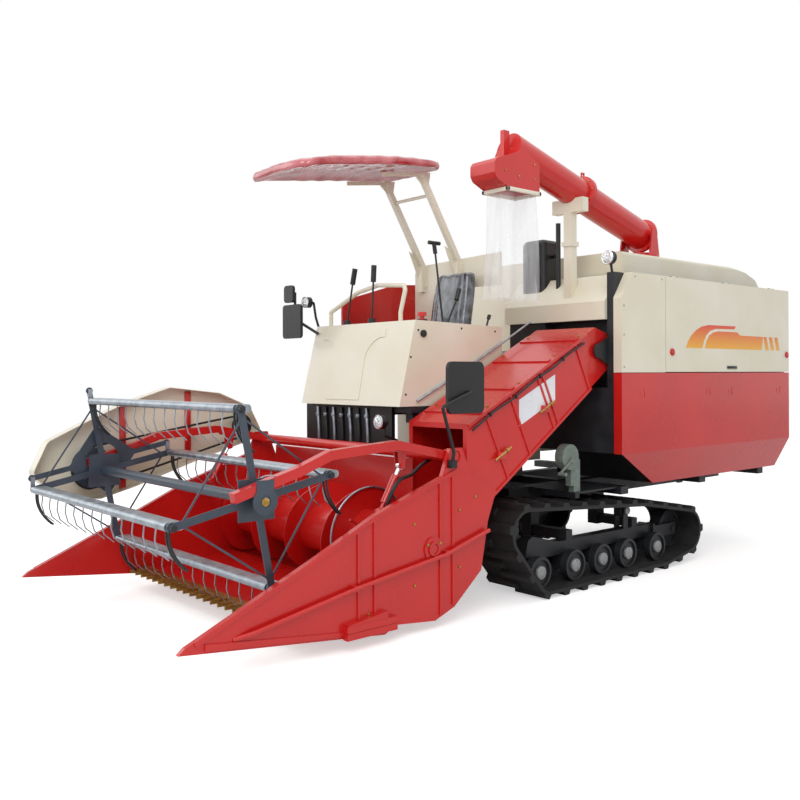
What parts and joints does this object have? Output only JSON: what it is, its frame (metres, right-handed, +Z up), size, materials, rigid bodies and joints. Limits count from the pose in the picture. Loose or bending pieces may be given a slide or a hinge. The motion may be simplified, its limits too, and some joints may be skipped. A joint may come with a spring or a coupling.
{
  "type": "combine harvester",
  "caption": "Tracked rice combine with open operator station, four-bat tined reel and front unloading auger.",
  "frame": {"origin": "centre of the bounding box on the ground plane, under the middle of the machine", "axes": "+Z up, -Y towards the header at the front, +X towards the machine's left side, where the yellow-striped side door is"},
  "size_m": [2.14, 5.2, 2.8062],
  "materials": {
    "red_paint": "semi-gloss",
    "cream_paint": "semi-gloss",
    "dark_frame": "satin",
    "blue_grey_paint": "satin",
    "black_plastic": "matt",
    "track_rubber": "matt",
    "zinc_steel": "satin",
    "grey_casting": "rough",
    "chrome_rod": "polished",
    "seat_vinyl": "soft sheen",
    "guard_brass": "satin"
  },
  "bodies": {
    "machine": {"track_left": "track_rubber", "track_right": "track_rubber", "rollers": "dark_frame", "crank_box": "grey_casting", "side_guard": "red_paint", "levers": "black_plastic", "warning_lamp": "red_paint", "lamps": "black_plastic", "track_frames": "dark_frame", "sprockets": "dark_frame", "transmission": "dark_frame", "chassis_frame": "dark_frame", "thresher_body": "dark_frame", "lower_side_panel": "red_paint", "front_side_cover": "cream_paint", "front_hood": "cream_paint", "grain_tank": "cream_paint", "rear_chute": "red_paint", "engine_block": "grey_casting", "engine_cover": "cream_paint", "platform_floor": "dark_frame", "front_console": "cream_paint", "side_console": "cream_paint", "hose_panel": "black_plastic", "handrail": "cream_paint", "seat_base": "dark_frame", "seat_cushion": "seat_vinyl", "canopy": "red_paint", "canopy_posts": "cream_paint", "mirror_right": "black_plastic", "unloader_elbow": "red_paint", "unloader_rest": "cream_paint", "air_cleaner": "black_plastic"},
    "header": {"feeder_house": "red_paint", "header_trough": "red_paint", "divider_left": "red_paint", "divider_right": "red_paint", "cutter_bar": "guard_brass", "arm_brackets": "red_paint", "mirror_left": "black_plastic", "header_lamp": "black_plastic"},
    "header_auger": {"header_auger": "red_paint"},
    "reel_arms": {"reel_arms": "red_paint", "drive_cover": "cream_paint", "reel_bearings": "blue_grey_paint"},
    "reel": {"reel_frame": "blue_grey_paint"},
    "eccentric_ring": {"eccentric_ring": "blue_grey_paint"},
    "lift_barrel": {"lift_barrel": "dark_frame"},
    "lift_rod": {"lift_rod": "chrome_rod"},
    "side_door": {"side_door": "cream_paint"},
    "unloader_tube": {"unloader_tube": "red_paint"},
    "tine_bar_1": {"tine_bar_1": "zinc_steel"},
    "tine_bar_2": {"tine_bar_2": "zinc_steel"},
    "tine_bar_3": {"tine_bar_3": "zinc_steel"},
    "tine_bar_4": {"tine_bar_4": "zinc_steel"},
    "reel_barrel_left": {"reel_barrel_left": "red_paint"},
    "reel_rod_left": {"reel_rod_left": "chrome_rod"},
    "reel_barrel_right": {"reel_barrel_right": "red_paint"},
    "reel_rod_right": {"reel_rod_right": "chrome_rod"}
  },
  "joints": [
    {"name": "header_lift", "type": "hinge", "parent": "machine", "child": "header", "pos_m": [0.705, 0.25, 1.46], "axis": [-1, 0, 0], "range_deg": [0, 16]},
    {"name": "header_auger_turn", "type": "hinge", "parent": "header", "child": "header_auger", "pos_m": [0, -1.17, 0.42], "axis": [-1, 0, 0], "continuous": true},
    {"name": "reel_lift", "type": "hinge", "parent": "header", "child": "reel_arms", "pos_m": [0, -1, 0.883], "axis": [-1, 0, 0], "range_deg": [0, 12]},
    {"name": "reel_turn", "type": "hinge", "parent": "reel_arms", "child": "reel", "pos_m": [0, -2.16, 0.755], "axis": [1, 0, 0], "continuous": true},
    {"name": "ring_turn", "type": "hinge", "parent": "reel_arms", "child": "eccentric_ring", "pos_m": [-0.861, -2.16, 0.815], "axis": [1, 0, 0], "continuous": true},
    {"name": "tine_bar_1_turn", "type": "hinge", "parent": "reel", "child": "tine_bar_1", "pos_m": [0, -1.74772, 0.83514], "axis": [1, 0, 0], "continuous": true},
    {"name": "tine_bar_2_turn", "type": "hinge", "parent": "reel", "child": "tine_bar_2", "pos_m": [0, -2.24014, 1.16728], "axis": [1, 0, 0], "continuous": true},
    {"name": "tine_bar_3_turn", "type": "hinge", "parent": "reel", "child": "tine_bar_3", "pos_m": [0, -2.57228, 0.67486], "axis": [1, 0, 0], "continuous": true},
    {"name": "tine_bar_4_turn", "type": "hinge", "parent": "reel", "child": "tine_bar_4", "pos_m": [0, -2.07986, 0.34272], "axis": [1, 0, 0], "continuous": true},
    {"name": "lift_barrel_tilt", "type": "hinge", "parent": "machine", "child": "lift_barrel", "pos_m": [0.5, -0.06, 0.4], "axis": [-1, 0, 0], "range_deg": [0, 6.81]},
    {"name": "lift_rod_slide", "type": "slide", "parent": "lift_barrel", "child": "lift_rod", "axis": [0, -0.835, 0.5503], "range_m": [0, 0.28889]},
    {"name": "reel_barrel_left_tilt", "type": "hinge", "parent": "header", "child": "reel_barrel_left", "pos_m": [0.869, -1.44, 0.625], "axis": [-1, 0, 0], "range_deg": [-5.95, 0]},
    {"name": "reel_rod_left_slide", "type": "slide", "parent": "reel_barrel_left", "child": "reel_rod_left", "axis": [0, 0.5117, 0.8592], "range_m": [0, 0.05691]},
    {"name": "reel_barrel_right_tilt", "type": "hinge", "parent": "header", "child": "reel_barrel_right", "pos_m": [-0.857, -1.44, 0.625], "axis": [-1, 0, 0], "range_deg": [-5.95, 0]},
    {"name": "reel_rod_right_slide", "type": "slide", "parent": "reel_barrel_right", "child": "reel_rod_right", "axis": [0, 0.5117, 0.8592], "range_m": [0, 0.05691]},
    {"name": "side_door_hinge", "type": "hinge", "parent": "machine", "child": "side_door", "pos_m": [1.015, 1.677, 1.962], "axis": [0, -1, 0], "range_deg": [0, 75]},
    {"name": "unloader_lift", "type": "hinge", "parent": "machine", "child": "unloader_tube", "pos_m": [0.64, 1.16, 2.31], "axis": [-1, 0, 0], "range_deg": [0, 25]}
  ],
  "couplings": [
    {"joint": "ring_turn", "follows": "reel_turn", "ratio": 1},
    {"joint": "tine_bar_1_turn", "follows": "reel_turn", "ratio": -1},
    {"joint": "tine_bar_2_turn", "follows": "reel_turn", "ratio": -1},
    {"joint": "tine_bar_3_turn", "follows": "reel_turn", "ratio": -1},
    {"joint": "tine_bar_4_turn", "follows": "reel_turn", "ratio": -1},
    {"joint": "lift_barrel_tilt", "follows": "header_lift", "ratio": 0.42546},
    {"joint": "lift_rod_slide", "follows": "header_lift", "m_per_rad": 1.0345},
    {"joint": "reel_barrel_left_tilt", "follows": "reel_lift", "ratio": -0.49623},
    {"joint": "reel_rod_left_slide", "follows": "reel_lift", "m_per_rad": 0.27174},
    {"joint": "reel_barrel_right_tilt", "follows": "reel_lift", "ratio": -0.49623},
    {"joint": "reel_rod_right_slide", "follows": "reel_lift", "m_per_rad": 0.27174}
  ]
}
